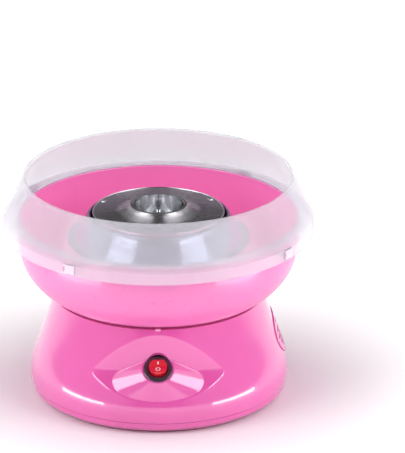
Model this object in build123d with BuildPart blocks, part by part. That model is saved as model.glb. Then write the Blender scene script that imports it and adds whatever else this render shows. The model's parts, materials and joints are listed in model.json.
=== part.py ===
# Cotton candy machine: base with motor and ring heater, spinning head, lift-off bowl and splash guard.
# Millimetres, +Z up, the switch faces -Y, origin at the centre of the footprint on the table.
from build123d import *
from math import cos, radians, sin

import os

os.makedirs("parts", exist_ok=True)

# ---------------------------------------------------------------- driving dimensions
foot_h = 2.0  # rubber feet stand proud of the bottom cover
parting_z = 11.0  # joint between bottom cover and housing
wall = 2.4  # moulded wall of the housing and the cover
deck_z = 88.0  # top of the housing, inside its rim
rim_z = 90.2  # housing rim under the bowl
rim_r = 92.0
seam_gap = 2.8  # shadow gap between housing and bowl
tower_r0 = 52.0  # motor tower, bottom and top
tower_r1 = 50.0
tower_z = 128.0
tower_roof = 3.0
fit_gap = 0.3  # running clearance between loose parts

# side of the housing, radius and height, from the parting line up to the rim
side = [(112.3, parting_z), (113.1, 21.0), (110.3, 34.0), (101.9, 58.0), (94.9, 80.0), (rim_r, rim_z)]

# front scoop: gently bowed across, upright back and a floor sloping out to the crest
scoop_top = (93.3, 100.0)
scoop_heel = (93.3, 50.0)
scoop_lip = (112.5, 28.8)
scoop_out = (130.0, 18.3)
scoop_plan_r = 270.0  # the scoop bulges forward in plan, about an axis behind the machine
scoop_arc = 34.0
heel_r = 12.0

# switch seat on its mound
tilt = 52.0  # seat normal above the horizontal
seat_y = -99.8
seat_z = 56.8
seat_r = 14.2
mound_depth = 20.0
mound_half_w = 56.0
mound_half_l = 29.5
mound_blend = 1.5
scoop_edge = 3.0
bezel_r = 12.7
bezel_h = 1.6
switch_hole_r = 10.0
window_r = 8.8
rocker_r = 7.9
rocker_swing_r = 8.9
rocker_valley = 4.4  # middle of the dished top above the pivot
rocker_dish = 0.25  # both halves of the top rise to their ends by this slope
pivot_drop = -1.2  # pivot below the seat
rock = 9.0  # the rocker leans this much either side of level
vent_proud = 0.9
post_top_z = 14.0
board_posts = [(26, 12), (66, 12), (26, 42), (66, 42)]
block_posts = [(-52, 34), (-30, 34)]

# bowl, collar, guard
bowl_rim_z = 160.5
bowl_floor_z = rim_z + seam_gap
bowl_wall = 2.2
bowl_outer = [(93.0, bowl_floor_z), (105.2, 102.0), (117.0, 118.0), (121.9, 140.0), (122.2, bowl_rim_z)]
bowl_inner = [(91.6, bowl_floor_z + bowl_wall), (103.6, 103.6), (115.0, 118.9), (119.7, 140.2), (120.0, bowl_rim_z)]
tube_r = 72.0  # inner tube of the bowl
tube_top_z = 139.0
guard_r = 135.2
guard_low_z = 148.6
skirt_top_z = 158.8
guard_top_z = 197.4
guard_top_r = 116.4
guard_t = 1.6
clip_angles = [56, 146, 236, 326]

# head, rotor, heater
head_r = 57.0
head_top_z = 164.0
pan_z = 146.0
well_r = 23.0
well_lip_z = 170.5
screen_z = 160.6
lid_z = 162.8
shaft_r = 2.5
motor_r = 18.9
motor_low_z = 66.0
plate_z = 119.0
plate_t = 1.5
motor_boss_r = 6.5
fan_r = 29.0
hub_r = 6.0
hub_top_z = 150.0
pin_z = 147.0
pin_r = 1.5
pin_half = 10.0
element_r = 42.0
element_z = 138.0
element_tube_r = 3.0
cutout_x = 40.0

boss_r = 98.0
boss_top_z = 54.0
boss_drop = 2.5
bracket_screw_r = 36.0
foot_ring_r = 88.0
lead_r = 42.0  # ceramic bushings of the heater leads, in the tower roof
lead_angles = [258, 282]
bush_r = 4.0
dish_screw_r = 27.0
vent_half_w = 30.0
vent_half_h = 19.0
gland_face_y = 112.0
gland_z = 24.0
clip_w = 4.6
lock_step = 1.0  # the lock clip sits this deep in the rim

vent_lean = 17.0  # the side wall leans in by this much at the vent
vent_azimuth = 7.0
vent_axis = (cos(radians(vent_lean)) * cos(radians(vent_azimuth)), cos(radians(vent_lean)) * sin(radians(vent_azimuth)))
vent_plane = Plane(
    origin=(105.0 * cos(radians(vent_azimuth)), 105.0 * sin(radians(vent_azimuth)), 49.0),
    x_dir=(-sin(radians(vent_azimuth)), cos(radians(vent_azimuth)), 0),
    z_dir=(*vent_axis, sin(radians(vent_lean))),
)
seat_plane = Plane(origin=(0, seat_y, seat_z), x_dir=(1, 0, 0), z_dir=(0, -cos(radians(tilt)), sin(radians(tilt))))


scoop_axis_y = scoop_plan_r - scoop_top[0]
scoop_axis = Axis((0, scoop_axis_y, 0), (0, 0, 1))
scoop_turn = radians(scoop_arc / 2)
scoop_plane = Plane(
    origin=(0, scoop_axis_y, 0),
    x_dir=(sin(scoop_turn), cos(scoop_turn), 0),
    z_dir=(cos(scoop_turn), -sin(scoop_turn), 0),
)


def polar(radius, angle, z=0.0):
    return (radius * cos(radians(angle)), radius * sin(radians(angle)), z)


def front_points(grow):
    # the scoop's cross-section on its turning plane, pushed into the housing by "grow"
    lean = [scoop_top, scoop_heel, scoop_lip, scoop_out]
    drop = [0.0, 1.0, 1.17, 1.17]
    back = [1.0, 1.0, 0.0, 0.0]
    pts = [(-(d - grow * b) - scoop_axis_y, z - grow * k) for (d, z), k, b in zip(lean, drop, back)]
    return pts + [(-scoop_out[0] - scoop_axis_y, scoop_top[1])]


# ---------------------------------------------------------------- housing
with BuildPart() as housing_void:
    with BuildSketch(Plane.XZ):
        with BuildLine():
            inner = [(r - wall, z) for r, z in side[:-1]] + [(rim_r - wall - 0.6, deck_z - wall)]
            Spline(*inner)
            Polyline(inner[-1], (tower_r0 - wall, deck_z - wall), (tower_r1 - wall, tower_z - tower_roof))
            Polyline((tower_r1 - wall, tower_z - tower_roof), (0, tower_z - tower_roof), (0, parting_z), inner[0])
        make_face()
    revolve(axis=Axis.Z)
    with BuildSketch(scoop_plane) as scoop:
        with BuildLine():
            Polyline(*front_points(wall), close=True)
        make_face()
        fillet(scoop.vertices().sort_by_distance(front_points(wall)[1])[0], heel_r)
    revolve(axis=scoop_axis, revolution_arc=scoop_arc, mode=Mode.SUBTRACT)
    with BuildSketch(seat_plane.offset(-wall)):
        Circle(seat_r - wall)
    with BuildSketch(seat_plane.offset(-mound_depth)):
        Ellipse(mound_half_w - wall, mound_half_l - wall)
    loft()

with BuildPart() as base_housing:
    with BuildSketch(Plane.XZ):
        with BuildLine():
            Spline(*side)
            Polyline(side[-1], (rim_r - 1.8, rim_z), (rim_r - 1.8, deck_z), (tower_r0, deck_z))
            Polyline((tower_r0, deck_z), (tower_r1, tower_z), (0, tower_z), (0, parting_z), side[0])
        make_face()
    revolve(axis=Axis.Z)
    with BuildSketch(scoop_plane) as scoop:
        with BuildLine():
            Polyline(*front_points(0), close=True)
        make_face()
        fillet(scoop.vertices().sort_by_distance(front_points(0)[1])[0], heel_r)
    revolve(axis=scoop_axis, revolution_arc=scoop_arc, mode=Mode.SUBTRACT)
    with BuildSketch(seat_plane):
        Circle(seat_r)
    with BuildSketch(seat_plane.offset(-mound_depth)):
        Ellipse(mound_half_w, mound_half_l)
    loft()
    # edges around the foot of the mound (not its seam, which ends level with the seat)
    foot = base_housing.edges(Select.NEW).filter_by(GeomType.BSPLINE)
    fillet(foot.filter_by(lambda e: abs(e.bounding_box().max.Z - seat_z) > 0.5), mound_blend)
    # the scoop's outline on the housing
    front = base_housing.edges().filter_by(GeomType.BSPLINE).filter_by(lambda e: e.bounding_box().max.Y < -80)
    front = front.filter_by(lambda e: e.bounding_box().min.Z > 25)
    fillet(front.filter_by(lambda e: max(e.bounding_box().max.X, -e.bounding_box().min.X) > 50), scoop_edge)
    add(housing_void.part, mode=Mode.SUBTRACT)
    with BuildSketch(seat_plane):
        Circle(bezel_r + 0.4)
    extrude(amount=16, mode=Mode.SUBTRACT)
    with BuildSketch(seat_plane):
        Circle(switch_hole_r)
    extrude(amount=-12, mode=Mode.SUBTRACT)
    with BuildSketch(Plane.XY.offset(parting_z)):
        with PolarLocations(boss_r, 4, start_angle=45):
            Circle(4.5)
    extrude(amount=boss_top_z - parting_z)
    with BuildSketch(Plane.XY.offset(parting_z)):
        with PolarLocations(boss_r, 4, start_angle=45):
            Circle(1.5)
    extrude(amount=22, mode=Mode.SUBTRACT)
    with BuildSketch(Plane.XY.offset(tower_z - tower_roof)):
        with PolarLocations(bracket_screw_r, 4, start_angle=45):
            Circle(4.5)
    extrude(amount=-boss_drop)
    with BuildSketch(Plane.XY.offset(tower_z - tower_roof - boss_drop)):
        with PolarLocations(bracket_screw_r, 4, start_angle=45):
            Circle(1.5)
    extrude(amount=boss_drop + 1.5, mode=Mode.SUBTRACT)
    with BuildSketch(Plane.XY.offset(tower_z)):
        Circle(8.0)
        with Locations(*[polar(lead_r, a) for a in lead_angles]):
            Circle(bush_r)
        with PolarLocations(dish_screw_r, 3, start_angle=30):
            Circle(1.5)
    extrude(amount=-tower_roof, mode=Mode.SUBTRACT)
    with BuildSketch(vent_plane):
        Ellipse(vent_half_w, vent_half_h)
    extrude(amount=12, both=True, mode=Mode.SUBTRACT)
    with BuildSketch(Plane.XZ.offset(-gland_face_y)):
        with Locations((0, gland_z)):
            Circle(7.6)
    extrude(amount=-6, mode=Mode.SUBTRACT)
    with BuildSketch(Plane.XZ.offset(-gland_face_y)):
        with Locations((0, gland_z)):
            Circle(5.0)
    extrude(amount=8, mode=Mode.SUBTRACT)
    with BuildSketch(Plane.XY.offset(rim_z)):
        with Locations((0, -rim_r + 1.0)):
            Rectangle(clip_w + 0.4, 6.0)
    extrude(amount=-lock_step, mode=Mode.SUBTRACT)
    fillet(base_housing.edges().filter_by(GeomType.CIRCLE).group_by(Axis.Z)[0].sort_by(SortBy.RADIUS)[-1:], 0.4)
base_housing.part.label = "base_housing"

export_step(base_housing.part, "parts/base_housing.step")

# ---------------------------------------------------------------- bottom cover, feet, screws
with BuildPart() as bottom_cover:
    with BuildSketch(Plane.XZ):
        with BuildLine():
            cup = Polyline((0, foot_h), (106.3, foot_h), (111.3, 6.5), (112.0, parting_z - 0.3))
            Polyline((112.0, parting_z - 0.3), (109.6, parting_z - 0.3), (109.6, parting_z + 3.0))
            Polyline((109.6, parting_z + 3.0), (107.6, parting_z + 3.0), (107.6, foot_h + wall), (0, foot_h + wall))
            Line((0, foot_h + wall), (0, foot_h))
        make_face()
        fillet(cup.vertices().sort_by(Axis.X)[1:3], 3.5)
    revolve(axis=Axis.Z)
    with BuildSketch(Plane.XY.offset(foot_h + wall)):
        with PolarLocations(boss_r, 4, start_angle=45):
            Circle(4.5)
    extrude(amount=parting_z - foot_h - wall)
    with BuildSketch(Plane.XY.offset(foot_h + wall)):
        with Locations(*board_posts, *block_posts):
            Circle(3.0)
    extrude(amount=post_top_z - foot_h - wall)
    with BuildSketch(Plane.XY.offset(post_top_z)):
        with Locations(*board_posts, *block_posts):
            Circle(1.2)
    extrude(amount=-7.0, mode=Mode.SUBTRACT)
    with BuildSketch(Plane.XY.offset(foot_h)):
        with PolarLocations(boss_r, 4, start_angle=45):
            Circle(3.4)
    extrude(amount=4.0, mode=Mode.SUBTRACT)
    with BuildSketch(Plane.XY.offset(foot_h)):
        with PolarLocations(boss_r, 4, start_angle=45):
            Circle(1.7)
        with PolarLocations(foot_ring_r, 4):
            Circle(2.0)
        with PolarLocations(44.0, 24):
            SlotOverall(24.0, 3.2)
        with PolarLocations(20.0, 12):
            SlotOverall(12.0, 3.2)
    extrude(amount=parting_z, mode=Mode.SUBTRACT)
    with BuildSketch(Plane.XY.offset(foot_h)):
        with PolarLocations(foot_ring_r, 4):
            Circle(8.2)
    extrude(amount=1.0, mode=Mode.SUBTRACT)
bottom_cover.part.label = "bottom_cover"
export_step(bottom_cover.part, "parts/bottom_cover.step")

with BuildPart() as rubber_feet:
    with BuildSketch():
        with PolarLocations(foot_ring_r, 4):
            Circle(8.0)
    extrude(amount=foot_h + 1.0)
    fillet(rubber_feet.edges().filter_by(GeomType.CIRCLE).group_by(Axis.Z)[0], 0.8)
    with BuildSketch(Plane.XY.offset(foot_h + 1.0)):
        with PolarLocations(foot_ring_r, 4):
            Circle(2.0)
    extrude(amount=3.4)
rubber_feet.part.label = "rubber_feet"
export_step(rubber_feet.part, "parts/rubber_feet.step")

with BuildPart() as cover_screws:
    with BuildSketch(Plane.XY.offset(foot_h + 1.8)):
        with PolarLocations(boss_r, 4, start_angle=45):
            Circle(3.0)
    extrude(amount=2.2)
    fillet(cover_screws.edges().filter_by(GeomType.CIRCLE).group_by(Axis.Z)[0], 0.6)
    with BuildSketch(Plane.XY.offset(foot_h + 4.0)):
        with PolarLocations(boss_r, 4, start_angle=45):
            Circle(1.5)
    extrude(amount=22.0)
    with BuildSketch(Plane.XY.offset(foot_h + 1.8)):
        with PolarLocations(boss_r, 4, start_angle=45):
            Rectangle(3.4, 0.7)
            Rectangle(0.7, 3.4)
    extrude(amount=1.1, mode=Mode.SUBTRACT)
cover_screws.part.label = "cover_screws"
export_step(cover_screws.part, "parts/cover_screws.step")

# ---------------------------------------------------------------- side vent, cord gland, bowl lock clip
with BuildPart() as vent_insert:
    with BuildSketch(vent_plane):
        Ellipse(vent_half_w - 0.2, vent_half_h - 0.2)
    extrude(amount=12, both=True)
    with BuildSketch(Plane.XZ):
        with BuildLine():
            skin = Spline(*[(r + vent_proud, z) for r, z in side])
            Polyline(skin @ 1, (0, rim_z), (0, parting_z), skin @ 0)
        make_face()
    revolve(axis=Axis.Z, mode=Mode.INTERSECT)
    with BuildSketch(Plane.XZ):
        with BuildLine():
            skin = Spline(*[(r - wall, z) for r, z in side])
            Polyline(skin @ 1, (0, rim_z), (0, parting_z), skin @ 0)
        make_face()
    revolve(axis=Axis.Z, mode=Mode.SUBTRACT)
    with BuildSketch(vent_plane):
        for row in range(-2, 3):
            reach = vent_half_w * cos(radians(row * 27)) - 6.0
            with Locations((0, row * 5.6)):
                SlotOverall(2 * reach, 2.4)
    extrude(amount=12, both=True, mode=Mode.SUBTRACT)
vent_insert.part.label = "vent_insert"
export_step(vent_insert.part, "parts/vent_insert.step")

with BuildPart() as cord_gland:
    with BuildSketch(Plane.XZ.offset(-gland_face_y)):
        with Locations((0, gland_z)):
            Circle(7.2)
    extrude(amount=-3.0)
    with BuildSketch(Plane.XZ.offset(-gland_face_y - 3.0)):
        with Locations((0, gland_z)):
            Circle(5.2)
    extrude(amount=-9.0, taper=6)
    with BuildSketch(Plane.XZ.offset(-gland_face_y)):
        with Locations((0, gland_z)):
            Circle(5.0)
    extrude(amount=5.0)
    with BuildSketch(Plane.XZ.offset(-gland_face_y + 5.0)):
        with Locations((0, gland_z)):
            Circle(6.0)
    extrude(amount=2.0)
    with BuildSketch(Plane.XZ.offset(-gland_face_y - 14.0)):
        with Locations((0, gland_z)):
            Circle(3.2)
    extrude(amount=24.0, mode=Mode.SUBTRACT)
    for step in range(3):
        with BuildSketch(Plane.XZ.offset(-gland_face_y - 4.6 - 2.4 * step)):
            with Locations((0, gland_z)):
                Circle(6.0)
                Circle(4.3, mode=Mode.SUBTRACT)
        extrude(amount=-0.9, mode=Mode.SUBTRACT)
cord_gland.part.label = "cord_gland"
export_step(cord_gland.part, "parts/cord_gland.step")

with BuildPart() as bowl_lock_clip:
    with BuildSketch(Plane.XY.offset(rim_z - lock_step)):
        with Locations((0, -rim_r + 0.5)):
            Rectangle(clip_w, 2.6)
    extrude(amount=2.0)
    fillet(bowl_lock_clip.edges().filter_by(Axis.X).group_by(Axis.Z)[-1], 0.5)
bowl_lock_clip.part.label = "bowl_lock_clip"
export_step(bowl_lock_clip.part, "parts/bowl_lock_clip.step")

# ---------------------------------------------------------------- switch
rocker_plane = Plane(
    origin=seat_plane.from_local_coords((0, 0, pivot_drop)),
    x_dir=(1, 0, 0),
    z_dir=(0, -cos(radians(tilt + rock)), sin(radians(tilt + rock))),
)

with BuildPart() as switch_bezel:
    with BuildSketch(seat_plane):
        Circle(bezel_r)
    extrude(amount=bezel_h)
    fillet(switch_bezel.edges().filter_by(GeomType.CIRCLE).sort_by(lambda e: e.center().Z)[-1], 1.1)
    with BuildSketch(seat_plane):
        Circle(switch_hole_r - 0.1)
    extrude(amount=-18)
    with BuildSketch(seat_plane.offset(4)):
        Circle(window_r)
    extrude(amount=-20, mode=Mode.SUBTRACT)
    with BuildSketch(Plane.YZ):
        with Locations(Plane.YZ.to_local_coords(rocker_plane.origin)):
            Circle(1.06)
    extrude(amount=switch_hole_r + 1, both=True, mode=Mode.SUBTRACT)
    with BuildSketch(seat_plane.offset(-15)):
        with Locations((-5, 0), (0, 5.0), (5, 0)):
            Rectangle(0.8, 4.8)
    extrude(amount=-4, mode=Mode.SUBTRACT)
switch_bezel.part.label = "switch_bezel"
export_step(switch_bezel.part, "parts/switch_bezel.step")

rocker_side = Plane(origin=rocker_plane.origin, x_dir=rocker_plane.y_dir, z_dir=(1, 0, 0))
rocker_end = rocker_valley + 12 * rocker_dish
with BuildPart() as switch_rocker:
    with BuildSketch(rocker_plane.offset(-3.0)):
        Circle(rocker_r)
    extrude(amount=11.0)
    with BuildSketch(Plane.YZ):
        with Locations(Plane.YZ.to_local_coords(rocker_plane.origin)):
            Circle(rocker_swing_r)
    extrude(amount=rocker_r + 2, both=True, mode=Mode.INTERSECT)
    with BuildSketch(rocker_side):
        Polygon((0, rocker_valley), (12, rocker_end), (12, 24), (-12, 24), (-12, rocker_end), align=None)
    extrude(amount=rocker_r + 2, both=True, mode=Mode.SUBTRACT)
    with BuildSketch(Plane.YZ):
        with Locations(Plane.YZ.to_local_coords(rocker_plane.origin)):
            Circle(1.0)
    extrude(amount=rocker_r + 1.4, both=True)
switch_rocker.part.label = "switch_rocker"
export_step(switch_rocker.part, "parts/switch_rocker.step")

with BuildPart() as switch_lamp:
    with BuildSketch(seat_plane.offset(-16)):
        Circle(2.1)
    extrude(amount=8.0)
    fillet(switch_lamp.edges().filter_by(GeomType.CIRCLE).sort_by(lambda e: e.center().Z)[-1], 1.9)
switch_lamp.part.label = "switch_lamp"
export_step(switch_lamp.part, "parts/switch_lamp.step")

with BuildPart() as switch_terminals:
    with BuildSketch(seat_plane.offset(-15.4)):
        with Locations((-5, 0), (0, 5.0), (5, 0)):
            Rectangle(0.8, 4.8)
    extrude(amount=-10)
    with BuildSketch(Plane.YZ):
        with Locations(Plane.YZ.to_local_coords(seat_plane.from_local_coords((0, 0, -23)))):
            Circle(0.8)
    extrude(amount=7, both=True, mode=Mode.SUBTRACT)
switch_terminals.part.label = "switch_terminals"
export_step(switch_terminals.part, "parts/switch_terminals.step")

# ---------------------------------------------------------------- motor and its bracket
with BuildPart() as motor_can:
    with BuildSketch(Plane.XY.offset(motor_low_z)):
        Circle(motor_r)
    extrude(amount=plate_z - motor_low_z)
    fillet(motor_can.edges().filter_by(GeomType.CIRCLE).group_by(Axis.Z)[-1], 1.6)
    with BuildSketch(Plane.XY.offset(plate_z)):
        Circle(motor_boss_r)
    extrude(amount=2.4)
    with BuildSketch(Plane.XY.offset(motor_low_z)):
        Circle(motor_r - 1.2)
    extrude(amount=3.0, mode=Mode.SUBTRACT)
    with BuildSketch(Plane.XY.offset(plate_z - 2.0)):
        with PolarLocations(12.5, 2):
            Circle(1.5)
    extrude(amount=3.0, mode=Mode.SUBTRACT)
    with BuildSketch(Plane.XZ.offset(-30)):
        with Locations((0, 98.0)):
            SlotOverall(12.0, 5.0)
    extrude(amount=12.4, mode=Mode.SUBTRACT)
    with BuildSketch(Plane.XY.offset(motor_low_z)):
        Circle(shaft_r + 0.05)
    extrude(amount=70, mode=Mode.SUBTRACT)
motor_can.part.label = "motor_can"
export_step(motor_can.part, "parts/motor_can.step")

with BuildPart() as motor_end_bell:
    with BuildSketch(Plane.XY.offset(motor_low_z - 3.6)):
        Circle(motor_r)
    extrude(amount=3.6)
    fillet(motor_end_bell.edges().filter_by(GeomType.CIRCLE).group_by(Axis.Z)[0], 1.2)
    with BuildSketch(Plane.XY.offset(motor_low_z)):
        Circle(motor_r - 1.2)
    extrude(amount=3.0)
    with BuildSketch(Plane.XY.offset(motor_low_z - 3.6)):
        Circle(6.0)
    extrude(amount=-3.0, taper=8)
    with BuildSketch(Plane.XY.offset(motor_low_z)):
        with Locations((11.5, 0), (-11.5, 0)):
            Rectangle(0.8, 5.0)
    extrude(amount=-4.0, mode=Mode.SUBTRACT)
    with BuildSketch(Plane.XY.offset(motor_low_z - 8)):
        Circle(shaft_r + 0.05)
    extrude(amount=14, mode=Mode.SUBTRACT)
motor_end_bell.part.label = "motor_end_bell"
export_step(motor_end_bell.part, "parts/motor_end_bell.step")

with BuildPart() as motor_terminals:
    with BuildSketch(Plane.XY.offset(motor_low_z)):
        with Locations((11.5, 0), (-11.5, 0)):
            Rectangle(0.8, 5.0)
    extrude(amount=-11.0)
    with BuildSketch(Plane.YZ):
        with Locations((0, motor_low_z - 8.6)):
            Circle(0.9)
    extrude(amount=15, both=True, mode=Mode.SUBTRACT)
motor_terminals.part.label = "motor_terminals"
export_step(motor_terminals.part, "parts/motor_terminals.step")

with BuildPart() as motor_bracket:
    with BuildSketch(Plane.XY.offset(plate_z)) as plate:
        with PolarLocations(0, 2, start_angle=45, angular_range=180):
            RectangleRounded(2 * bracket_screw_r + 14, 16, 7.9)
        Circle(motor_r + 2)
        Circle(motor_boss_r + 0.2, mode=Mode.SUBTRACT)
        with PolarLocations(bracket_screw_r, 4, start_angle=45):
            Circle(1.7, mode=Mode.SUBTRACT)
        with PolarLocations(12.5, 2):
            Circle(1.5, mode=Mode.SUBTRACT)
    extrude(amount=plate_t)
motor_bracket.part.label = "motor_bracket"
export_step(motor_bracket.part, "parts/motor_bracket.step")

grommet_z = plate_z + plate_t
with BuildPart() as motor_grommets:
    with BuildSketch(Plane.XY.offset(grommet_z)):
        with PolarLocations(bracket_screw_r, 4, start_angle=45):
            Circle(5.2)
            Circle(1.6, mode=Mode.SUBTRACT)
    extrude(amount=tower_z - tower_roof - boss_drop - grommet_z)
motor_grommets.part.label = "motor_grommets"
export_step(motor_grommets.part, "parts/motor_grommets.step")

with BuildPart() as bracket_screws:
    with BuildSketch(Plane.XY.offset(plate_z)):
        with PolarLocations(bracket_screw_r, 4, start_angle=45):
            Circle(4.0)
    extrude(amount=-0.8)
    with BuildSketch(Plane.XY.offset(plate_z - 0.8)):
        with PolarLocations(bracket_screw_r, 4, start_angle=45):
            Circle(2.7)
    extrude(amount=-2.2)
    with BuildSketch(Plane.XY.offset(plate_z)):
        with PolarLocations(bracket_screw_r, 4, start_angle=45):
            Circle(1.5)
    extrude(amount=tower_z - tower_roof + 1.2 - plate_z)
    with BuildSketch(Plane.XY.offset(grommet_z)):
        with PolarLocations(12.5, 2):
            Circle(2.6)
    extrude(amount=1.8)
    with BuildSketch(Plane.XY.offset(grommet_z)):
        with PolarLocations(12.5, 2):
            Circle(1.5)
    extrude(amount=-3.4)
    with BuildSketch(Plane.XY.offset(plate_z - 3.0)):
        with PolarLocations(bracket_screw_r, 4, start_angle=45):
            Rectangle(3.2, 0.7)
            Rectangle(0.7, 3.2)
    extrude(amount=1.2, mode=Mode.SUBTRACT)
bracket_screws.part.label = "bracket_screws"
export_step(bracket_screws.part, "parts/bracket_screws.step")

# ---------------------------------------------------------------- rotor
with BuildPart() as motor_shaft:
    with BuildSketch(Plane.XY.offset(42.0)):
        Circle(shaft_r)
    extrude(amount=hub_top_z + 1.0 - 42.0)
    chamfer(motor_shaft.edges().filter_by(GeomType.CIRCLE), 0.5)
    with BuildSketch(Plane.YZ):
        with Locations((0, pin_z)):
            Circle(pin_r)
    extrude(amount=5, both=True, mode=Mode.SUBTRACT)
motor_shaft.part.label = "motor_shaft"
export_step(motor_shaft.part, "parts/motor_shaft.step")

with BuildPart() as cooling_fan:
    with BuildSketch(Plane.XY.offset(43.0)):
        Circle(6.0)
    extrude(amount=9.0)
    with BuildSketch(Plane.XY.offset(43.0)):
        with PolarLocations(17.0, 8):
            Rectangle(24.0, 1.4)
    extrude(amount=7.0)
    with BuildSketch(Plane.XY.offset(43.0)):
        Circle(fan_r)
        Circle(fan_r - 1.4, mode=Mode.SUBTRACT)
    extrude(amount=1.6)
    with BuildSketch(Plane.XY.offset(42.0)):
        Circle(shaft_r)
    extrude(amount=11.0, mode=Mode.SUBTRACT)
cooling_fan.part.label = "cooling_fan"
export_step(cooling_fan.part, "parts/cooling_fan.step")

with BuildPart() as drive_hub:
    with BuildSketch(Plane.XY.offset(tower_z + 5.0)):
        Circle(hub_r)
    extrude(amount=hub_top_z - tower_z - 5.0)
    fillet(drive_hub.edges().filter_by(GeomType.CIRCLE).group_by(Axis.Z)[-1], 1.2)
    with BuildSketch(Plane.XY.offset(tower_z + 5.0)):
        Circle(8.5)
    extrude(amount=3.0)
    with BuildSketch(Plane.YZ):
        with Locations((0, pin_z)):
            Circle(pin_r)
    extrude(amount=12, both=True, mode=Mode.SUBTRACT)
    with BuildSketch(Plane.XY.offset(tower_z)):
        Circle(shaft_r)
    extrude(amount=40, mode=Mode.SUBTRACT)
drive_hub.part.label = "drive_hub"
export_step(drive_hub.part, "parts/drive_hub.step")

with BuildPart() as drive_pin:
    with BuildSketch(Plane.YZ):
        with Locations((0, pin_z)):
            Circle(pin_r)
    extrude(amount=pin_half, both=True)
    chamfer(drive_pin.edges().filter_by(GeomType.CIRCLE), 0.3)
drive_pin.part.label = "drive_pin"
export_step(drive_pin.part, "parts/drive_pin.step")

# ---------------------------------------------------------------- heater dish and ring element
with BuildPart() as heater_dish:
    with BuildSketch(Plane.XZ):
        with BuildLine():
            Polyline((11.0, tower_z), (49.0, tower_z), (53.5, tower_z + 3.0), (56.0, 142.5), (57.6, 143.3))
            Polyline((57.6, 143.3), (57.2, 144.3), (55.0, 143.4), (52.4, tower_z + 4.0), (48.6, tower_z + 1.2))
            Polyline((48.6, tower_z + 1.2), (12.2, tower_z + 1.2), (12.2, tower_z + 3.4), (11.0, tower_z + 3.4))
            Line((11.0, tower_z + 3.4), (11.0, tower_z))
        make_face()
    revolve(axis=Axis.Z)
    with BuildSketch(Plane.XY.offset(tower_z)):
        with PolarLocations(dish_screw_r, 3, start_angle=30):
            Circle(1.7)
        with Locations(*[polar(lead_r, a) for a in lead_angles]):
            Circle(bush_r)
        with PolarLocations(element_r, 3, start_angle=60):
            Circle(1.3)
    extrude(amount=2.0, mode=Mode.SUBTRACT)
heater_dish.part.label = "heater_dish"
export_step(heater_dish.part, "parts/heater_dish.step")

with BuildPart() as dish_screws:
    with BuildSketch(Plane.XY.offset(tower_z + 1.2)):
        with PolarLocations(dish_screw_r, 3, start_angle=30):
            Circle(3.0)
    extrude(amount=2.0)
    fillet(dish_screws.edges().filter_by(GeomType.CIRCLE).group_by(Axis.Z)[-1], 0.8)
    with BuildSketch(Plane.XY.offset(tower_z + 1.2)):
        with PolarLocations(dish_screw_r, 3, start_angle=30):
            Circle(1.5)
    extrude(amount=-7.0)
    with BuildSketch(Plane.XY.offset(tower_z + 3.2)):
        with PolarLocations(dish_screw_r, 3, start_angle=30):
            Rectangle(3.6, 0.7)
            Rectangle(0.7, 3.6)
    extrude(amount=-1.0, mode=Mode.SUBTRACT)
dish_screws.part.label = "dish_screws"
export_step(dish_screws.part, "parts/dish_screws.step")

# ring element: most of a circle, both ends turned down through the ceramic bushings
ring_start = polar(element_r, lead_angles[1], element_z)
with BuildPart() as heating_element:
    with BuildLine() as ring:
        CenterArc((0, 0, element_z), element_r, lead_angles[1], 360 - (lead_angles[1] - lead_angles[0]))
    with BuildSketch(Plane(origin=ring_start, x_dir=(0, 0, 1), z_dir=ring.line % 0)):
        Circle(element_tube_r)
    sweep(path=ring.line)
    for angle in lead_angles:
        with BuildSketch(Plane.XY.offset(element_z)):
            with Locations(polar(lead_r, angle)):
                Circle(element_tube_r)
        extrude(amount=-(element_z - tower_z + 6.0))
        with Locations(polar(element_r, angle, element_z)):
            Sphere(element_tube_r)
heating_element.part.label = "heating_element"
export_step(heating_element.part, "parts/heating_element.step")

with BuildPart() as element_clips:
    with BuildSketch(Plane.XY.offset(tower_z + 1.2)):
        with PolarLocations(element_r, 3, start_angle=60):
            Rectangle(10.0, 7.0)
    extrude(amount=element_z - element_tube_r - tower_z - 1.2)
    with BuildSketch(Plane.XY.offset(tower_z + 2.4)):
        with PolarLocations(element_r, 3, start_angle=60):
            Rectangle(7.4, 8.0)
    extrude(amount=element_z - element_tube_r - tower_z - 3.4, mode=Mode.SUBTRACT)
    with BuildSketch(Plane.XY.offset(tower_z + 1.2)):
        with PolarLocations(element_r, 3, start_angle=60):
            Circle(1.3)
    extrude(amount=-1.2)
element_clips.part.label = "element_clips"
export_step(element_clips.part, "parts/element_clips.step")

with BuildPart() as lead_bushings:
    with BuildSketch(Plane.XY.offset(tower_z - tower_roof - 3.0)):
        with Locations(*[polar(lead_r, a) for a in lead_angles]):
            Circle(bush_r)
            Circle(element_tube_r, mode=Mode.SUBTRACT)
    extrude(amount=tower_roof + 3.0 + 3.0)
    with BuildSketch(Plane.XY.offset(tower_z + 1.2)):
        with Locations(*[polar(lead_r, a) for a in lead_angles]):
            Circle(bush_r + 1.4)
            Circle(element_tube_r, mode=Mode.SUBTRACT)
    extrude(amount=2.2)
lead_bushings.part.label = "lead_bushings"
export_step(lead_bushings.part, "parts/lead_bushings.step")

with BuildPart() as element_terminals:
    with BuildSketch(Plane.XY.offset(tower_z - 6.0)):
        with Locations(*[polar(lead_r, a) for a in lead_angles]):
            Circle(1.2)
    extrude(amount=-4.0)
    with BuildSketch(Plane.XY.offset(tower_z - 10.0)):
        with Locations(*[polar(lead_r, a) for a in lead_angles]):
            Rectangle(0.8, 4.8)
    extrude(amount=-8.0)
element_terminals.part.label = "element_terminals"
export_step(element_terminals.part, "parts/element_terminals.step")

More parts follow.
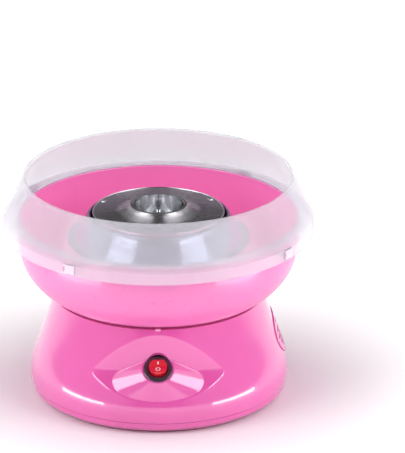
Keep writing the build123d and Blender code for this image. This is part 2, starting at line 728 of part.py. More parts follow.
with BuildPart() as thermal_cutout:
    with BuildSketch(Plane.XY.offset(tower_z - tower_roof)):
        with Locations((cutout_x, 0)):
            Circle(6.5)
    extrude(amount=-4.0)
    with BuildSketch(Plane.XY.offset(tower_z - tower_roof - 4.0)):
        with Locations((cutout_x, 0)):
            Circle(5.2)
    extrude(amount=-3.0)
    with BuildSketch(Plane.XY.offset(tower_z - tower_roof - 7.0)):
        with Locations((cutout_x, 3.5), (cutout_x, -3.5)):
            Rectangle(4.0, 0.8)
    extrude(amount=-6.0)
thermal_cutout.part.label = "thermal_cutout"
export_step(thermal_cutout.part, "parts/thermal_cutout.step")

# ---------------------------------------------------------------- electronics on the bottom cover
with BuildPart() as rectifier_board:
    with BuildSketch(Plane.XY.offset(post_top_z)):
        with Locations((46, 27)):
            RectangleRounded(50, 40, 3)
        with Locations(*board_posts):
            Circle(1.4, mode=Mode.SUBTRACT)
    extrude(amount=1.6)
rectifier_board.part.label = "rectifier_board"
export_step(rectifier_board.part, "parts/rectifier_board.step")

with BuildPart() as board_components:
    with BuildSketch(Plane.XY.offset(post_top_z + 1.6)):
        with GridLocations(7.0, 0, 4, 1):
            with Locations((40, 20)):
                RectangleRounded(4.4, 8.6, 1.2)
    extrude(amount=4.6)
    with BuildSketch(Plane.XY.offset(post_top_z + 1.6)):
        with Locations((38, 36)):
            Circle(5.0)
    extrude(amount=13.0)
    with BuildSketch(Plane.XY.offset(post_top_z + 1.6)):
        with Locations((54, 36)):
            Rectangle(14.0, 7.0)
    extrude(amount=11.0)
    fillet(board_components.edges().group_by(Axis.Z)[-1], 0.6)
board_components.part.label = "board_components"
export_step(board_components.part, "parts/board_components.step")

with BuildPart() as terminal_block:
    with BuildSketch(Plane.XY.offset(post_top_z)):
        with Locations((-41, 34)):
            RectangleRounded(30, 16, 2)
        with Locations(*block_posts):
            Circle(1.4, mode=Mode.SUBTRACT)
    extrude(amount=3.0)
    with BuildSketch(Plane.XY.offset(post_top_z + 3.0)):
        with Locations((-41, 34)):
            RectangleRounded(14, 15, 1)
    extrude(amount=9.0)
    with BuildSketch(Plane.XY.offset(post_top_z + 12.0)):
        with GridLocations(4.4, 7.5, 3, 2):
            with Locations((-41, 34)):
                Circle(1.5)
    extrude(amount=-5.0, mode=Mode.SUBTRACT)
terminal_block.part.label = "terminal_block"
export_step(terminal_block.part, "parts/terminal_block.step")

with BuildPart() as board_screws:
    with BuildSketch(Plane.XY.offset(post_top_z)):
        with Locations(*board_posts, *block_posts):
            Circle(1.2)
    extrude(amount=-6.0)
    with BuildSketch(Plane.XY.offset(post_top_z)):
        with Locations(*board_posts):
            Circle(1.2)
    extrude(amount=1.6)
    with BuildSketch(Plane.XY.offset(post_top_z + 1.6)):
        with Locations(*board_posts):
            Circle(2.4)
    extrude(amount=1.6)
    with BuildSketch(Plane.XY.offset(post_top_z)):
        with Locations(*block_posts):
            Circle(1.2)
    extrude(amount=3.0)
    with BuildSketch(Plane.XY.offset(post_top_z + 3.0)):
        with Locations(*block_posts):
            Circle(2.4)
    extrude(amount=1.6)
board_screws.part.label = "board_screws"
export_step(board_screws.part, "parts/board_screws.step")

# insulated leads, each a gentle curve from one terminal to the next
switch_end = tuple(seat_plane.from_local_coords((0, 0, -26.4)))[1:]
lead_paths = [
    [polar(lead_r, 258, 109.4), (-13, -43, 82), (-34, -30, 52), (-45.4, 22, 44), (-45.4, 30.2, 27)],
    [polar(lead_r, 282, 109.4), (13, -43, 82), (38, -34, 50), (56, 2, 38), (60, 20, 17)],
    [(-5, *switch_end), (-9, -74, 30), (-26, -36, 24), (-40, 12, 34), (-41, 30.2, 27)],
]
with BuildPart() as wiring:
    for stops in lead_paths:
        with BuildLine() as run:
            Spline(*stops)
        with BuildSketch(Plane(origin=run.line @ 0, z_dir=run.line % 0)):
            Circle(1.1)
        sweep(path=run.line)
wiring.part.label = "wiring"
export_step(wiring.part, "parts/wiring.step")

# ---------------------------------------------------------------- spinning head
with BuildPart() as head_pan:
    with BuildSketch(Plane.XZ):
        with BuildLine():
            Polyline((0, 153.0), (12.5, 153.0), (12.5, pan_z + 1.4), (54.2, pan_z + 1.4), (54.2, screen_z))
            Polyline((54.2, screen_z), (55.8, screen_z), (55.8, pan_z + 1.5), (54.3, pan_z), (12.5, pan_z))
            Polyline((12.5, pan_z), (12.5, pan_z - 1.5), (0, pan_z - 1.5), (0, 153.0))
        make_face()
    revolve(axis=Axis.Z)
    with BuildSketch(Plane.XY.offset(pan_z - 1.5)):
        Circle(hub_r + fit_gap)
    extrude(amount=hub_top_z + 1.0 - pan_z + 1.5, mode=Mode.SUBTRACT)
    with BuildSketch(Plane.XY.offset(pan_z - 1.5)):
        Rectangle(2 * pin_half + 1.2, 2 * pin_r + 0.8)
    extrude(amount=pin_z + pin_r + 0.4 - pan_z + 1.5, mode=Mode.SUBTRACT)
head_pan.part.label = "head_pan"
export_step(head_pan.part, "parts/head_pan.step")

with BuildPart() as head_screen:
    with BuildSketch(Plane.XY.offset(screen_z)):
        Circle(55.4)
        Circle(54.4, mode=Mode.SUBTRACT)
    extrude(amount=lid_z - screen_z)
    with BuildSketch(Plane.XY.offset(screen_z + 0.5)):
        with PolarLocations(54.9, 60):
            Rectangle(3.0, 3.6)
    extrude(amount=lid_z - screen_z - 1.0, mode=Mode.SUBTRACT)
head_screen.part.label = "head_screen"
export_step(head_screen.part, "parts/head_screen.step")

with BuildPart() as head_lid:
    with BuildSketch(Plane.XZ):
        with BuildLine():
            top = Spline((38.0, head_top_z), (31.0, 166.0), (24.6, well_lip_z), tangents=[(-1, 0.02), (-0.6, 1)])
            Line((24.6, well_lip_z), (well_r, well_lip_z))
            under = Spline(
                (well_r, well_lip_z - 1.2), (30.2, 165.0), (38.0, lid_z), tangents=[(0.6, -1), (1, -0.02)]
            )
            Line((well_r, well_lip_z), (well_r, well_lip_z - 1.2))
            Polyline((38.0, lid_z), (56.4, lid_z), (56.4, head_top_z), (38.0, head_top_z))
        make_face()
    revolve(axis=Axis.Z)
head_lid.part.label = "head_lid"
export_step(head_lid.part, "parts/head_lid.step")

with BuildPart() as head_rim_ring:
    with BuildSketch(Plane.XZ):
        with BuildLine():
            Polyline((56.4, lid_z + 1.4), (56.4, lid_z - 0.2), (56.7, lid_z - 0.5), (57.1, lid_z - 0.5))
            Polyline((57.1, lid_z - 0.5), (57.4, lid_z - 0.2), (57.4, lid_z + 1.4), (57.1, lid_z + 1.7))
            Polyline((57.1, lid_z + 1.7), (56.7, lid_z + 1.7), (56.4, lid_z + 1.4))
        make_face()
    revolve(axis=Axis.Z)
head_rim_ring.part.label = "head_rim_ring"
export_step(head_rim_ring.part, "parts/head_rim_ring.step")

with BuildPart() as sugar_well:
    with BuildSketch(Plane.XZ):
        with BuildLine():
            Polyline((9.0, 153.0), (19.6, 153.0), (20.8, 154.2), (22.9, 169.0), (well_r, well_lip_z))
            Polyline((well_r, well_lip_z), (21.9, well_lip_z + 0.4), (21.8, 169.0), (19.8, 155.0), (18.8, 154.2))
            Polyline((18.8, 154.2), (9.0, 154.2), (9.0, 153.0))
        make_face()
    revolve(axis=Axis.Z)
    with BuildSketch(Plane.XY.offset(152.0)):
        with PolarLocations(15.6, 8):
            Circle(1.9)
    extrude(amount=3.0, mode=Mode.SUBTRACT)
sugar_well.part.label = "sugar_well"
export_step(sugar_well.part, "parts/sugar_well.step")

with BuildPart() as head_cone:
    with BuildSketch(Plane.XZ):
        with BuildLine():
            Spline((12.6, 154.2), (8.4, 156.4), (5.2, 161.0))
            Polyline((5.2, 161.0), (0, 161.0), (0, 153.0), (9.0, 153.0), (9.0, 154.2), (12.6, 154.2))
        make_face()
    revolve(axis=Axis.Z)
head_cone.part.label = "head_cone"
export_step(head_cone.part, "parts/head_cone.step")

with BuildPart() as head_nut:
    with BuildSketch(Plane.XY.offset(161.0)):
        Circle(4.6)
    extrude(amount=0.6)
    with BuildSketch(Plane.XY.offset(161.6)):
        RegularPolygon(3.6, 6)
    extrude(amount=2.6)
    with BuildSketch(Plane.XY.offset(164.2)):
        Circle(2.2)
    extrude(amount=1.6)
    fillet(head_nut.edges().filter_by(GeomType.CIRCLE).group_by(Axis.Z)[-1], 0.9)
head_nut.part.label = "head_nut"
export_step(head_nut.part, "parts/head_nut.step")

with BuildPart() as head_tabs:
    with BuildSketch(Plane.XY.offset(head_top_z)):
        with PolarLocations(53.4, 3, start_angle=33):
            RectangleRounded(3.4, 5.4, 0.8)
    extrude(amount=0.8)
    fillet(head_tabs.edges().group_by(Axis.Z)[-1], 0.3)
head_tabs.part.label = "head_tabs"
export_step(head_tabs.part, "parts/head_tabs.step")

# ---------------------------------------------------------------- bowl with its heat collar
with BuildPart() as bowl:
    with BuildSketch(Plane.XZ):
        with BuildLine():
            Spline(*bowl_outer)
            Spline(*bowl_inner)
            Line(bowl_outer[-1], bowl_inner[-1])
            Polyline(bowl_inner[0], (tube_r - bowl_wall, bowl_floor_z + bowl_wall))
            Polyline((tube_r - bowl_wall, bowl_floor_z + bowl_wall), (tube_r - bowl_wall, bowl_floor_z))
            Polyline((tube_r - bowl_wall, bowl_floor_z), (82.6, bowl_floor_z), (82.6, deck_z), (87.0, deck_z))
            Polyline((87.0, deck_z), (87.0, bowl_floor_z), bowl_outer[0])
        make_face()
    revolve(axis=Axis.Z)
    fillet(bowl.edges().filter_by(GeomType.CIRCLE).group_by(Axis.Z)[-1], 0.8)
bowl.part.label = "bowl"
export_step(bowl.part, "parts/bowl.step")

# the tube is its own moulding, standing on the bowl's floor with a foot flange and carrying the collar
tube_low_z = bowl_floor_z + bowl_wall
with BuildPart() as bowl_tube:
    with BuildSketch(Plane.XZ):
        with BuildLine():
            Polyline((tube_r - bowl_wall, tube_low_z), (tube_r + 4, tube_low_z), (tube_r + 4, tube_low_z + 1.2))
            Polyline((tube_r + 4, tube_low_z + 1.2), (tube_r + 1.5, tube_low_z + 1.8), (tube_r, tube_low_z + 4))
            Polyline((tube_r, tube_low_z + 4), (tube_r, tube_top_z - bowl_wall))
            Polyline((tube_r, tube_top_z - bowl_wall), (78.6, tube_top_z - bowl_wall), (78.6, tube_top_z))
            Polyline((78.6, tube_top_z), (62.0, tube_top_z), (62.0, tube_top_z - bowl_wall))
            Polyline((62.0, tube_top_z - bowl_wall), (tube_r - bowl_wall, tube_top_z - bowl_wall))
            Line((tube_r - bowl_wall, tube_top_z - bowl_wall), (tube_r - bowl_wall, tube_low_z))
        make_face()
    revolve(axis=Axis.Z)
    with BuildSketch(Plane.XY.offset(tube_top_z)):
        with PolarLocations(76.4, 4, start_angle=45):
            Circle(1.5)
    extrude(amount=-bowl_wall, mode=Mode.SUBTRACT)
bowl_tube.part.label = "bowl_tube"
export_step(bowl_tube.part, "parts/bowl_tube.step")

with BuildPart() as heat_collar:
    with BuildSketch(Plane.XZ):
        with BuildLine():
            Line((78.2, 140.0), (74.5, 140.0))
            ThreePointArc((74.5, 140.0), (73.75, 140.55), (73.2, 141.4))
            Line((73.2, 141.4), (62.8, 159.3))
            ThreePointArc((62.8, 159.3), (61.8, 160.9), (60.2, 161.9))
            Polyline((60.2, 161.9), (59.3, 161.9), (59.1, 161.1), (59.9, 160.9))
            ThreePointArc((59.9, 160.9), (61.0, 160.1), (61.9, 158.8))
            Line((61.9, 158.8), (72.3, 140.9))
            ThreePointArc((72.3, 140.9), (73.0, 139.8), (74.2, 139.0))
            Polyline((74.2, 139.0), (78.6, 139.0), (79.4, 139.8), (79.0, 140.6), (78.2, 140.0))
        make_face()
    revolve(axis=Axis.Z)
    with BuildSketch(Plane.XY.offset(138.0)):
        with PolarLocations(76.4, 4, start_angle=45):
            Circle(1.5)
    extrude(amount=4.0, mode=Mode.SUBTRACT)
heat_collar.part.label = "heat_collar"
export_step(heat_collar.part, "parts/heat_collar.step")

with BuildPart() as collar_rivets:
    with BuildSketch(Plane.XY.offset(tube_top_z - bowl_wall)):
        with PolarLocations(76.4, 4, start_angle=45):
            Circle(1.5)
    extrude(amount=bowl_wall + 1.0)
    with BuildSketch(Plane.XY.offset(tube_top_z + 1.0)):
        with PolarLocations(76.4, 4, start_angle=45):
            Circle(1.75)
    extrude(amount=1.0)
    fillet(collar_rivets.edges().filter_by(GeomType.CIRCLE).group_by(Axis.Z)[-1], 0.6)
collar_rivets.part.label = "collar_rivets"
export_step(collar_rivets.part, "parts/collar_rivets.step")

# ---------------------------------------------------------------- splash guard and its clips
bead_out = (guard_top_r + 1.4, guard_top_z - 2.2)
bead_in = (guard_top_r - 1.9, guard_top_z - 1.8)
with BuildPart() as splash_guard:
    with BuildSketch(Plane.XZ):
        with BuildLine():
            Polyline((guard_r, guard_low_z), (guard_r, skirt_top_z), (134.0, 160.3), bead_out)
            ThreePointArc(bead_out, (guard_top_r - 0.4, guard_top_z), bead_in)
            Polyline(bead_in, (131.6, 161.9), (120.4, 161.9), (120.4, bowl_rim_z))
            Polyline((120.4, bowl_rim_z), (131.6, bowl_rim_z), (guard_r - guard_t, 158.0))
            Polyline((guard_r - guard_t, 158.0), (guard_r - guard_t, guard_low_z), (guard_r, guard_low_z))
        make_face()
    revolve(axis=Axis.Z)
    for angle in clip_angles:
        with BuildSketch(Plane.XY.offset(150.0)):
            with Locations(Location(polar(guard_r - 1, angle), (0, 0, angle))):
                Rectangle(8, 11.0)
        extrude(amount=8.0, mode=Mode.SUBTRACT)
splash_guard.part.label = "splash_guard"
export_step(splash_guard.part, "parts/splash_guard.step")

with BuildPart() as guard_clips:
    for angle in clip_angles:
        with BuildSketch(Plane.XY.offset(150.0)):
            with Locations(Location(polar(133.9, angle), (0, 0, angle))):
                Rectangle(3.4, 11.0)
        extrude(amount=8.0)
        with BuildSketch(Plane.XY.offset(150.0)):
            with Locations(Location(polar(127.6, angle), (0, 0, angle))):
                Rectangle(9.4, 8.0)
        extrude(amount=2.0)
        with BuildSketch(Plane.XY.offset(151.6)):
            with Locations(Location(polar(guard_r, angle - 2.0), (0, 0, angle))):
                Rectangle(6.0, 0.9)
        extrude(amount=4.8, mode=Mode.SUBTRACT)
guard_clips.part.label = "guard_clips"
export_step(guard_clips.part, "parts/guard_clips.step")
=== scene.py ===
"""Looks of the cotton candy machine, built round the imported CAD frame. Metres, +Z up, the switch faces -Y."""

import json
import math

import bmesh
import bpy
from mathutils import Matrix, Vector
from mathutils.bvhtree import BVHTree


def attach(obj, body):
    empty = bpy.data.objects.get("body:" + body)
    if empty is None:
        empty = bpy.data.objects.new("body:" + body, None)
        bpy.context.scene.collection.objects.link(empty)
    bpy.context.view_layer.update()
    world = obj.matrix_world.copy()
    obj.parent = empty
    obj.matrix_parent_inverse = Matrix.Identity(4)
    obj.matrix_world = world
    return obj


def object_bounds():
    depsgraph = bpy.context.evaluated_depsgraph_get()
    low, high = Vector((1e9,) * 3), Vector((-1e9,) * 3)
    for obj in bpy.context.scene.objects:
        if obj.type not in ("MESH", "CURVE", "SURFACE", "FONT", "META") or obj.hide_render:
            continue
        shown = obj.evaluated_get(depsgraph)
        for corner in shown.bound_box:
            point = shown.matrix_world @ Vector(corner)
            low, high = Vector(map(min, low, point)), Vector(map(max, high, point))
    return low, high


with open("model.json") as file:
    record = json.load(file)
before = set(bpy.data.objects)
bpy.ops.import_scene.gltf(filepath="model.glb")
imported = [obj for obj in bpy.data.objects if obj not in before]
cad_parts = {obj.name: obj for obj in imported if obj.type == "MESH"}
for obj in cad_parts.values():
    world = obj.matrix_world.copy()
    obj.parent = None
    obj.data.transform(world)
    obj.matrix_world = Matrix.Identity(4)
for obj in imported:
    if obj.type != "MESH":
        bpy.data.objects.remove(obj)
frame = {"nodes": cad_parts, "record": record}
cad_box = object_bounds()
nodes = frame["nodes"]
scene = bpy.context.scene

MM = 0.001


# ---------------------------------------------------------------- colours and node trees
def rgb(red, green, blue):
    """A display colour, 0 to 255 a channel, as the linear colour that shaders take."""
    parts = [c / 255 for c in (red, green, blue)]
    return (*[c / 12.92 if c <= 0.04045 else ((c + 0.055) / 1.055) ** 2.4 for c in parts], 1.0)


def shade(colour, factor):
    """A linear colour made lighter or darker."""
    return (*[min(1.0, c * factor) for c in colour[:3]], 1.0)


RING_DRAW = 0.02  # how much of its length a pattern keeps along the turn of a ring


class Finish:
    """A material, and short calls for the nodes of its finish. Patterns are in object space, in metres."""

    def __init__(self, name):
        self.material = bpy.data.materials.new(name)
        self.material.use_nodes = True
        self.tree = self.material.node_tree
        self.shader = self.tree.nodes["Principled BSDF"]
        self.place = self.add("ShaderNodeTexCoord").outputs["Object"]
        self.normal = None

    def add(self, kind, settings=None, **inputs):
        node = self.tree.nodes.new(kind)
        for key, value in (settings or {}).items():
            setattr(node, key, value)
        for key, value in inputs.items():
            self.feed(node.inputs[key.replace("_", " ")], value)
        return node

    def feed(self, socket, value):
        if isinstance(value, bpy.types.NodeSocket):
            self.tree.links.new(value, socket)
        else:
            socket.default_value = value

    def set(self, **inputs):
        for key, value in inputs.items():
            self.feed(self.shader.inputs[key.replace("_", " ")], value)

    def math(self, operation, *values):
        node = self.add("ShaderNodeMath", {"operation": operation})
        for socket, value in zip(node.inputs, values):
            self.feed(socket, value)
        return node.outputs[0]

    def stretched(self, x, y, z):
        node = self.add("ShaderNodeVectorMath", {"operation": "MULTIPLY"})
        self.feed(node.inputs[0], self.place)
        node.inputs[1].default_value = (x, y, z)
        return node.outputs[0]

    def split(self, vector):
        return self.add("ShaderNodeSeparateXYZ", Vector=vector).outputs

    def radius(self):
        """How far a place is from the Z axis."""
        x, y, _ = self.split(self.place)
        return self.math("SQRT", self.math("ADD", self.math("MULTIPLY", x, x), self.math("MULTIPLY", y, y)))

    def rings(self):
        """Places that turn a pattern into rings about the Z axis, drawn out along the turn."""
        x, y, z = self.split(self.place)
        turn = self.math("MULTIPLY", self.math("ARCTAN2", y, x), RING_DRAW)
        joined = self.add("ShaderNodeCombineXYZ")
        for socket, value in zip(joined.inputs, (self.radius(), turn, z)):
            self.feed(socket, value)
        return joined.outputs[0]

    def noise(self, scale, detail=3.0, roughness=0.5, place=None):
        place = place or self.place
        node = self.add("ShaderNodeTexNoise", Vector=place, Scale=scale, Detail=detail, Roughness=roughness)
        return node.outputs[0]

    def cells(self, scale):
        return self.add("ShaderNodeTexVoronoi", Vector=self.place, Scale=scale).outputs["Distance"]

    def between(self, value, low, high, start=0.3, stop=0.7):
        """Maps value, which runs from start to stop, onto low to high, and holds it there beyond them."""
        node = self.add("ShaderNodeMapRange", Value=value)
        for key, number in {"From Min": start, "From Max": stop, "To Min": low, "To Max": high}.items():
            node.inputs[key].default_value = number
        return node.outputs[0]

    def mixed(self, share, first, second):
        node = self.add("ShaderNodeMix", {"data_type": "RGBA"})
        for socket, value in zip((node.inputs[0], node.inputs[6], node.inputs[7]), (share, first, second)):
            self.feed(socket, value)
        return node.outputs[2]

    def bump(self, height, distance, strength=1.0):
        node = self.add("ShaderNodeBump", Height=height, Distance=distance, Strength=strength)
        if self.normal:
            self.feed(node.inputs["Normal"], self.normal)
        self.normal = node.outputs[0]
        self.set(Normal=self.normal)

    def facing_axis(self):
        """1 on walls that look inwards at the Z axis, and 0 elsewhere: the mask of a painted glow that stands
        in for the light coming through such walls.
        """
        product = self.add("ShaderNodeVectorMath", {"operation": "MULTIPLY"})
        self.feed(product.inputs[0], self.place)
        self.feed(product.inputs[1], self.add("ShaderNodeNewGeometry").outputs["Normal"])
        x, y, _ = self.split(product.outputs[0])
        return self.between(self.math("ADD", x, y), 1.0, 0.0, -0.03, 0.0)

    def worn(self):
        """0 on faces, 1 on outer edges."""
        return self.between(self.add("ShaderNodeNewGeometry").outputs["Pointiness"], 0.0, 1.0, 0.52, 0.60)


def plastic(name, colour, rough=0.25, grain=0.00001, coat=0.0, cloudy=0.06, glow=0.0, painted_inner_glow=0.0):
    """Moulded plastic: slow colour drift, fine specks, faint orange peel, hairline scratches."""
    finish = Finish(name)
    drift = finish.between(finish.noise(14, 4), 0.0, 1.0)
    speck = finish.between(finish.noise(900, 2), 0.0, 1.0, 0.66, 0.74)
    tone = finish.mixed(drift, shade(colour, 1 - cloudy), shade(colour, 1 + cloudy / 2))
    tone = finish.mixed(finish.math("MULTIPLY", speck, 0.06), tone, shade(colour, 0.7))
    scratch = finish.noise(60, 6, 0.7, finish.stretched(1, 9, 1))
    finish.set(Base_Color=tone, Roughness=finish.between(scratch, rough * 0.85, rough * 1.25))
    finish.bump(finish.noise(160, 2), 0.00003, 0.25)
    finish.bump(finish.noise(1400, 3), grain, 0.6)
    finish.set(IOR=1.5, Coat_Weight=coat, Coat_Roughness=0.04, Coat_IOR=1.7)
    if glow:
        finish.set(Subsurface_Weight=glow, Subsurface_Radius=(0.004, 0.0018, 0.0028), Subsurface_Scale=1.0)
    # painted light: walls that face the axis get a pink emission, a painted glow that brightens the inside of
    # the bowl
    if painted_inner_glow:
        painted_glow = finish.math("MULTIPLY", finish.facing_axis(), painted_inner_glow)
        finish.set(Emission_Color=colour, Emission_Strength=painted_glow)
    return finish


def metal(name, colour, rough=0.3, brushed="", depth=0.00001, lean=0.0, stain=0.12):
    """Metal with cloudy roughness and brighter worn edges. brushed is "rings", "drawn" or nothing."""
    finish = Finish(name)
    if brushed == "rings":
        grain = finish.noise(2600, 3, 0.6, finish.rings())
    elif brushed == "drawn":
        grain = finish.noise(2600, 3, 0.6, finish.stretched(1, 1, 0.03))
    else:
        grain = finish.noise(700, 3, 0.6)
    cloud = finish.between(finish.noise(30, 5), 0.0, 1.0)
    tone = finish.mixed(cloud, shade(colour, 1 - stain), colour)
    streaks = finish.math("MULTIPLY", finish.between(grain, 0.0, 1.0), 0.25)
    tone = finish.mixed(streaks, tone, shade(colour, 0.8))
    tone = finish.mixed(finish.math("MULTIPLY", finish.worn(), 0.4), tone, shade(colour, 1.25))
    finish.set(Base_Color=tone, Metallic=1.0)
    finish.set(Roughness=finish.between(cloud, rough * 0.8, rough * 1.25, 0, 1))
    finish.bump(grain, depth, 0.5)
    if lean:
        tangent = finish.add("ShaderNodeTangent", {"direction_type": "RADIAL", "axis": "Z"})
        finish.set(Anisotropic=lean, Anisotropic_Rotation=0.25, Tangent=tangent.outputs[0])
    return finish


def rubber(name, colour, rough=0.6):
    """Matt rubber or silicone with a dusty bloom."""
    finish = Finish(name)
    bloom = finish.between(finish.noise(90, 5, 0.65), 0.0, 1.0)
    finish.set(Base_Color=finish.mixed(bloom, colour, shade(colour, 1.35)))
    finish.set(Roughness=finish.between(bloom, rough, rough * 1.3, 0, 1))
    finish.bump(finish.noise(1100, 4), 0.00004, 0.5)
    return finish


def ceramic(name, colour):
    """Unglazed steatite: chalky, with tiny dark flecks and pores."""
    finish = Finish(name)
    fleck = finish.between(finish.noise(1500, 2), 0.0, 0.35, 0.62, 0.72)
    finish.set(Base_Color=finish.mixed(fleck, colour, shade(colour, 0.5)), Roughness=0.75)
    finish.bump(finish.cells(1200), 0.00003, 0.4)
    return finish


PINK = rgb(230, 91, 173)
PINK_BOWL = rgb(237, 121, 186)
STEEL = rgb(196, 198, 200)
ALU = rgb(226, 227, 230)

guard = plastic("guard_haze", rgb(230, 230, 241), rough=0.22, grain=0.000004, cloudy=0.01)
guard.set(Alpha=0.38, Subsurface_Weight=0.8, Subsurface_Radius=(0.006, 0.006, 0.006), Subsurface_Scale=1.0)
lamp = plastic("lamp_glass", rgb(255, 150, 110), rough=0.1)
lamp.set(Transmission_Weight=0.6)

# by the frame's material slot
FINISHES = {
    "pink_housing": plastic("housing_pink", PINK, 0.16, coat=1.0, glow=0.1),
    "pink_cover": plastic("cover_pink", PINK, 0.2, grain=0.00002, coat=0.8),
    "dark_rubber": rubber("black_rubber", rgb(38, 38, 40)),
    "zinc_screw": metal("zinc_plate", STEEL, 0.34, depth=0.00002),
    "pink_vent": plastic("vent_pink", shade(PINK, 0.97), 0.24, coat=0.5, glow=0.1),
    "clip_plastic": plastic("clip_pink", rgb(250, 150, 206), 0.2, coat=0.6, glow=0.1),
    "black_bezel": plastic("bezel_black", rgb(30, 22, 26), 0.2, coat=0.6),
    "red_lens": plastic("rocker_red", rgb(214, 22, 40), 0.16, coat=0.5, glow=0.15),
    "lamp_glass": lamp,
    "tinned_brass": metal("tinned_brass", rgb(214, 196, 140), 0.3, "drawn"),
    "motor_steel": metal("motor_can_steel", rgb(176, 178, 182), 0.3, "drawn"),
    "nylon_white": plastic("white_nylon", rgb(232, 229, 218), 0.45, grain=0.00002),
    "galvanised": metal("galvanised_sheet", rgb(176, 180, 184), 0.42, depth=0.00002, stain=0.3),
    "bright_steel": metal("bright_steel", STEEL, 0.2, "rings"),
    "fan_plastic": plastic("fan_black", rgb(44, 44, 47), 0.4, grain=0.00002),
    "spun_aluminium": metal("spun_aluminium", ALU, 0.26, "rings", lean=0.6),
    "element_sheath": metal("element_sheath", rgb(108, 92, 84), 0.5, depth=0.00003, stain=0.45),
    "stainless_strip": metal("stainless_strip", rgb(212, 212, 214), 0.24, "drawn"),
    "steatite": ceramic("steatite", rgb(232, 226, 212)),
    "phenolic": plastic("phenolic_brown", rgb(40, 26, 22), 0.35),
    "board_green": plastic("board_resist", rgb(24, 92, 52), 0.3, cloudy=0.25),
    "board_parts": plastic("epoxy_cases", rgb(40, 40, 44), 0.4),
    "wire_silicone": rubber("wire_sleeve", rgb(226, 222, 214), 0.5),
    "pan_aluminium": metal("pan_aluminium", rgb(204, 206, 210), 0.3, "rings", lean=0.5),
    "screen_steel": metal("screen_steel", rgb(184, 186, 190), 0.28, "rings"),
    "lid_aluminium": metal("lid_aluminium", rgb(214, 212, 218), 0.26, "rings", lean=0.85, stain=0.2),
    "ring_chrome": metal("rim_chrome", rgb(236, 236, 240), 0.1, "rings"),
    "well_aluminium": metal("well_aluminium", rgb(232, 233, 236), 0.16, "rings", lean=0.4),
    "cone_aluminium": metal("cone_aluminium", rgb(168, 170, 174), 0.24, "rings"),
    "nut_steel": metal("nut_steel", rgb(222, 223, 226), 0.12),
    # the bowl's inner walls carry a painted glow, emission that stands in for light inside the bowl
    "pink_bowl": plastic("bowl_pink", PINK_BOWL, 0.3, coat=0.35, glow=0.12, painted_inner_glow=0.28),
    "collar_metal": metal("collar_aluminium", rgb(162, 168, 190), 0.14, "rings"),
    "rivet_metal": metal("rivet_aluminium", rgb(220, 221, 224), 0.25),
    "clear_guard": guard,
    "guard_clip_plastic": plastic("guard_clip_pale", rgb(238, 208, 228), 0.22, coat=0.4),
}


# ---------------------------------------------------------------- raised marks on the rocker
FACE_TILT = math.radians(61)  # how far the way that the face looks rises over the level
FACE_CENTRE = Vector((0, -0.0998, 0.0568))
FACE_RIGHT = Vector((1, 0, 0))
FACE_OUT = Vector((0, -math.cos(FACE_TILT), math.sin(FACE_TILT)))
FACE_UP = Vector((0, math.sin(FACE_TILT), math.cos(FACE_TILT)))
CAST_FROM = 20 * MM  # out from the face
MARK_SINK = 0.04 * MM  # into the face
MARK_RISE = 0.05 * MM  # out of the face


def raised_mark(name, rows, finish):
    """A thin closed patch on the rocker's face. rows are lists of (x, y) in mm, and join up to a sheet."""
    tree = BVHTree.FromObject(nodes["switch_rocker"], bpy.context.evaluated_depsgraph_get())
    mesh = bmesh.new()
    grid = []
    for row in rows:
        line = []
        for x, y in row:
            start = FACE_CENTRE + (FACE_RIGHT * x + FACE_UP * y) * MM + FACE_OUT * CAST_FROM
            hit = tree.ray_cast(start, -FACE_OUT)[0]
            low = mesh.verts.new(hit - FACE_OUT * MARK_SINK)
            high = mesh.verts.new(hit + FACE_OUT * MARK_RISE)
            line.append((low, high))
        grid.append(line)
    for row, after in zip(grid, grid[1:]):
        for (a0, a1), (b0, b1), (c0, c1), (d0, d1) in zip(row, row[1:], after[1:], after):
            mesh.faces.new((a1, b1, c1, d1))
            mesh.faces.new((d0, c0, b0, a0))
    bmesh.ops.remove_doubles(mesh, verts=mesh.verts, dist=1e-7)
    # the open edges of the lower sheet are walled up to the upper one
    rim = [edge for edge in mesh.edges if len(edge.link_faces) == 1]
    pairs = {low: high for line in grid for low, high in line if low.is_valid and high.is_valid}
    for edge in rim:
        one, two = edge.verts
        if one in pairs and two in pairs:
            mesh.faces.new((one, two, pairs[two], pairs[one]))
    bmesh.ops.recalc_face_normals(mesh, faces=mesh.faces)
    data = bpy.data.meshes.new(name)
    mesh.to_mesh(data)
    mesh.free()
    patch = bpy.data.objects.new(name, data)
    data.materials.append(finish.material)
    scene.collection.objects.link(patch)
    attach(patch, "rocker")


ink = plastic("mark_white", rgb(246, 238, 236), 0.35)
bar = [[(x, y) for x in (-0.5, 0, 0.5)] for y in (2.6, 3.2, 3.8, 4.4, 5.0)]
raised_mark("mark_on", bar, ink)
RING_STEPS = 40
RING_Y = -2.7
turns = [math.tau * k / RING_STEPS for k in range(RING_STEPS + 1)]
ring = [[(r * math.cos(t), RING_Y + r * math.sin(t)) for t in turns] for r in (1.5, 2.2)]
raised_mark("mark_off", ring, ink)

slots = {part["node"]: part["material_slot"] for part in frame["record"]["subparts"]}
for name, node in nodes.items():
    node.data.materials.clear()
    node.data.materials.append(FINISHES[slots[name]].material)


# ---------------------------------------------------------------- stage, lights, camera
def look_at(thing, target):
    thing.rotation_mode = "QUATERNION"
    thing.rotation_quaternion = (Vector(target) - thing.location).to_track_quat("-Z", "Y")


BOWL_HEIGHT = (0, 0, 0.12)
CREST = (0, 0, 0.011)  # height of the base's lower edge, where the long streaks lie


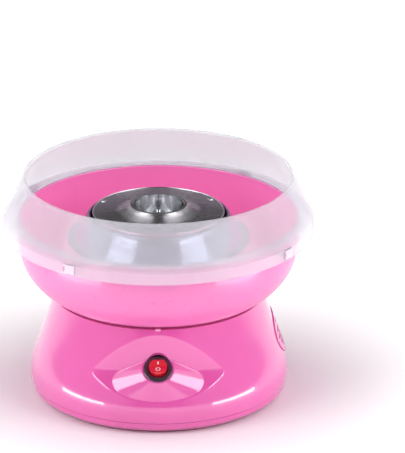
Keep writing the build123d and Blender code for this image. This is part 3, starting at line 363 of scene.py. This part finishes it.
def softbox(name, azimuth, elevation, distance, width, height, power, target=BOWL_HEIGHT):
    """A soft lamp that faces target. Azimuth 0 is at the camera's side, 90 is at the right."""
    data = bpy.data.lights.new(name, "AREA")
    data.shape = "RECTANGLE"
    data.size = width
    data.size_y = height
    data.energy = power
    lamp_object = bpy.data.objects.new(name, data)
    turn, rise = math.radians(azimuth), math.radians(elevation)
    direction = Vector((math.sin(turn) * math.cos(rise), -math.cos(turn) * math.cos(rise), math.sin(rise)))
    lamp_object.location = Vector(target) + direction * distance
    look_at(lamp_object, target)
    scene.collection.objects.link(lamp_object)


world = bpy.data.worlds.new("studio")
world.use_nodes = True
scene.world = world
sky = world.node_tree
direction = sky.nodes.new("ShaderNodeSeparateXYZ")
sky.links.new(sky.nodes.new("ShaderNodeTexCoord").outputs["Generated"], direction.inputs[0])
# the studio is white to the left and right, and dark in front, overhead and behind
aside = sky.nodes.new("ShaderNodeMath")
aside.operation = "ABSOLUTE"
sky.links.new(direction.outputs[0], aside.inputs[0])
light = sky.nodes.new("ShaderNodeMapRange")
for socket, number in {"From Min": 0.3, "From Max": 0.54, "To Min": 0.08, "To Max": 0.52}.items():
    light.inputs[socket].default_value = number
sky.links.new(aside.outputs[0], light.inputs["Value"])
sky.links.new(light.outputs[0], sky.nodes["Background"].inputs["Strength"])
sky.nodes["Background"].inputs["Color"].default_value = (1, 1, 1, 1)
scene.view_settings.view_transform = "Standard"

for side, sign in (("left", -1), ("right", 1)):
    softbox(f"key_{side}", sign * 57, 28, 1.5, 0.92, 0.66, 8.5)
    softbox(f"high_{side}", sign * 98, 60, 2.0, 1.5, 1.5, 7)
    softbox(f"strip_{side}", sign * 60, 0, 0.34, 0.24, 0.018, 0.1, CREST)

FLOOR_REACH = 9.0
FLOOR_GAP = 0.0002  # below the feet
corners = [(x * FLOOR_REACH, y * FLOOR_REACH, 0) for x, y in ((-1, -1), (1, -1), (1, 1), (-1, 1))]
floor_mesh = bpy.data.meshes.new("floor")
floor_mesh.from_pydata(corners, [], [(0, 1, 2, 3)])
floor = bpy.data.objects.new("floor", floor_mesh)
floor.location.z = cad_box[0].z - FLOOR_GAP
scene.collection.objects.link(floor)
paper = Finish("paper_floor")
patchy = paper.between(paper.noise(3, 3), 0, 1)
paper.set(Base_Color=paper.mixed(patchy, rgb(250, 250, 251), rgb(254, 254, 254)), Roughness=0.6)
# the white sweep has light of its own, none under the machine and full from 0.27 m out
sweep_light = paper.between(paper.radius(), 0.0, 0.5, 0.12, 0.27)
paper.set(Emission_Color=rgb(255, 255, 255), Emission_Strength=sweep_light)
floor_mesh.materials.append(paper.material)

VIEW_ELEVATION = math.radians(21.4)
VIEW_DISTANCE = 5.0
FRAME_HEIGHT = 0.3937  # what the picture's height takes in, at the object
SENSOR = 36
AIM = Vector((0.0382, 0, 0.1495))
camera = bpy.data.objects.new("camera", bpy.data.cameras.new("camera"))
camera.data.sensor_width = SENSOR
camera.data.lens = SENSOR * VIEW_DISTANCE / FRAME_HEIGHT
camera.data.clip_end = 60
camera.location = AIM + VIEW_DISTANCE * Vector((0, -math.cos(VIEW_ELEVATION), math.sin(VIEW_ELEVATION)))
look_at(camera, AIM)
scene.collection.objects.link(camera)
scene.camera = camera
